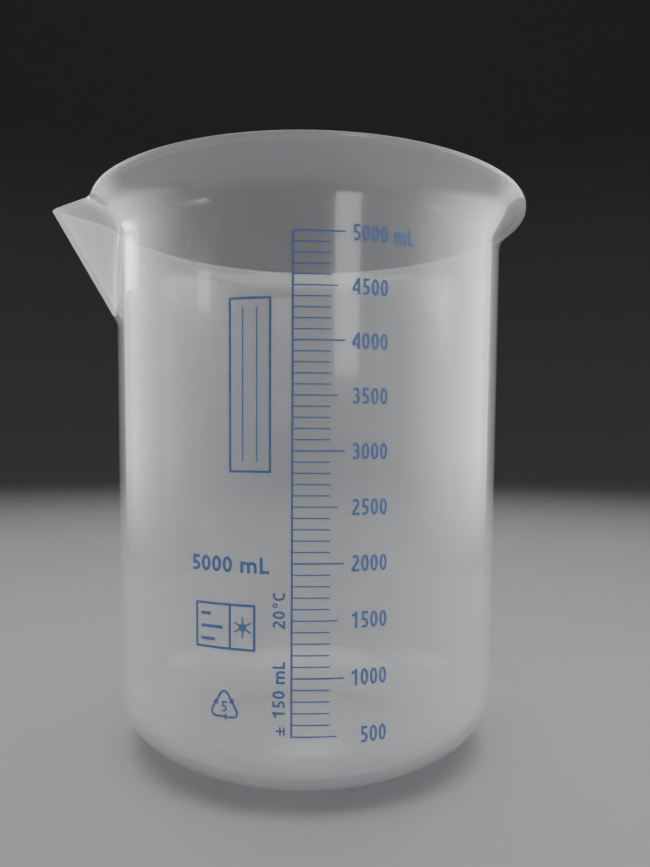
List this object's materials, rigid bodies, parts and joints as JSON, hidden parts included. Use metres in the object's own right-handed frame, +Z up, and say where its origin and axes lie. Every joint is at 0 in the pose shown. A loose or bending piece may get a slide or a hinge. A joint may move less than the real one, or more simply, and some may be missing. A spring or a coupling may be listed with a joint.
{
  "type": "laboratory beaker",
  "caption": "Large translucent plastic laboratory beaker with a flared lip, a straight V spout, a domed base and a blue printed volume scale.",
  "frame": {"origin": "on the beaker's axis, in the plane of the standing ring it rests on", "axes": "+Z up along the beaker's axis; -X towards the tip of the pouring spout; the printed scale faces -Y"},
  "size_m": [0.2275, 0.2086, 0.251],
  "materials": {
    "vessel": "natural milky polypropylene, translucent, smooth moulded gloss",
    "ink": "blue screen-printing ink, satin"
  },
  "bodies": {
    "root": {"vessel": "vessel", "scale_spine": "ink", "thousand_lines": "ink", "five_hundred_lines": "ink", "hundred_lines": "ink", "numeral_500": "ink", "numeral_1000": "ink", "numeral_1500": "ink", "numeral_2000": "ink", "numeral_2500": "ink", "numeral_3000": "ink", "numeral_3500": "ink", "numeral_4000": "ink", "numeral_4500": "ink", "numeral_5000": "ink", "unit_mark": "ink", "capacity_mark": "ink", "tolerance_mark": "ink", "temperature_mark": "ink", "rating_frame": "ink", "rating_bars": "ink", "rating_star": "ink", "resin_triangle": "ink", "resin_numeral": "ink", "write_on_frame": "ink", "write_on_rules": "ink"}
  },
  "joints": []
}
